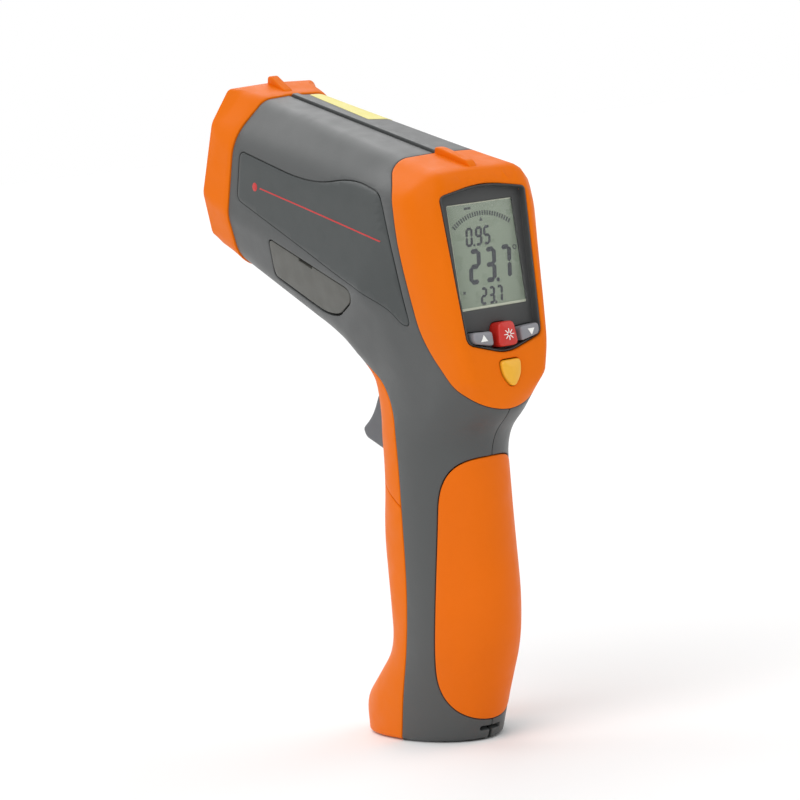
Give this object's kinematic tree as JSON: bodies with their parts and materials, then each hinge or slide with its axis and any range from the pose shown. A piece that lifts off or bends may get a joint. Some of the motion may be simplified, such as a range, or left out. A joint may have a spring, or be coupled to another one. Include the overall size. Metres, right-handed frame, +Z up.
{
  "type": "infrared thermometer",
  "caption": "Pistol-grip infrared thermometer with hooded lens nose, recessed display with keys, sprung trigger and a hinged battery door in the handle.",
  "frame": {"origin": "mouth of the tripod thread, in the plane that the handle's foot stands on", "axes": "+Z up from the foot, +Y towards the nose, +X to the user's right"},
  "size_m": [0.0538, 0.1461, 0.2308],
  "materials": {
    "grey_shell": "fine moulded grain",
    "orange_shell": "fine moulded grain",
    "orange_grip": "soft overmould, matt",
    "dark_plastic": "matt",
    "black_plastic": "matt",
    "lens": "polished",
    "laser_glass": "polished",
    "window": "clear",
    "lcd": "satin",
    "circuit": "solder mask",
    "steel": "plain",
    "brass": "plain",
    "probe_yellow": "matt",
    "key_grey": "satin",
    "key_red": "satin",
    "key_yellow": "satin",
    "battery_can": "printed wrap, plain"
  },
  "bodies": {
    "housing": {"left_housing": "grey_shell", "right_housing": "grey_shell", "nose_cap": "orange_shell", "front_plate": "dark_plastic", "lens_barrel": "dark_plastic", "lens_ring": "dark_plastic", "ir_lens": "lens", "thermopile": "steel", "sensor_board": "circuit", "laser_modules": "brass", "laser_lenses": "laser_glass", "rear_bezel": "orange_shell", "display_frame": "dark_plastic", "display_window": "window", "lcd_panel": "lcd", "display_board": "circuit", "keypad_switches": "black_plastic", "main_board": "circuit", "board_screws": "steel", "buzzer": "black_plastic", "usb_socket": "steel", "probe_socket": "probe_yellow", "socket_door_pin": "steel", "trigger_pin": "steel", "trigger_spring": "steel", "trigger_switch": "black_plastic", "trigger_surround": "orange_shell", "battery_door_pin": "steel", "battery": "battery_can", "battery_snap": "black_plastic", "foot_block": "dark_plastic", "tripod_insert": "brass", "rear_grip": "orange_grip", "housing_screws": "steel"},
    "trigger": {"trigger": "dark_plastic"},
    "up_key": {"up_button": "key_grey"},
    "laser_key": {"laser_button": "key_red"},
    "down_key": {"down_button": "key_grey"},
    "mode_key": {"mode_button": "key_yellow"},
    "battery_door": {"battery_door": "orange_shell"},
    "socket_door": {"socket_door": "grey_shell"}
  },
  "joints": [
    {"name": "trigger_pull", "type": "hinge", "parent": "housing", "child": "trigger", "pos_m": [0, -0.00127, 0.1316], "axis": [-1, 0, 0], "range_deg": [0, 6], "stiffness_Nm_per_rad": 1, "springref_deg": -5.73, "deforming": ["trigger_spring"]},
    {"name": "up_key_press", "type": "slide", "parent": "housing", "child": "up_key", "axis": [0, 0.9983, -0.0576], "range_m": [0, 0.0008], "stiffness_N_per_m": 2000, "springref_m": -0.0004},
    {"name": "laser_key_press", "type": "slide", "parent": "housing", "child": "laser_key", "axis": [0, 0.9983, -0.0576], "range_m": [0, 0.0008], "stiffness_N_per_m": 2000, "springref_m": -0.0004},
    {"name": "down_key_press", "type": "slide", "parent": "housing", "child": "down_key", "axis": [0, 0.9983, -0.0576], "range_m": [0, 0.0008], "stiffness_N_per_m": 2000, "springref_m": -0.0004},
    {"name": "mode_key_press", "type": "slide", "parent": "housing", "child": "mode_key", "axis": [0, 0.9983, -0.0576], "range_m": [0, 0.0008], "stiffness_N_per_m": 2000, "springref_m": -0.0004},
    {"name": "battery_door_open", "type": "hinge", "parent": "housing", "child": "battery_door", "pos_m": [0, 0.03365, 0.00845], "axis": [-1, 0, 0], "range_deg": [0, 60]},
    {"name": "socket_door_open", "type": "hinge", "parent": "housing", "child": "socket_door", "pos_m": [-0.02069, 0.02525, 0.15446], "axis": [0.0205, -0.9324, -0.3608], "range_deg": [0, 90]}
  ]
}
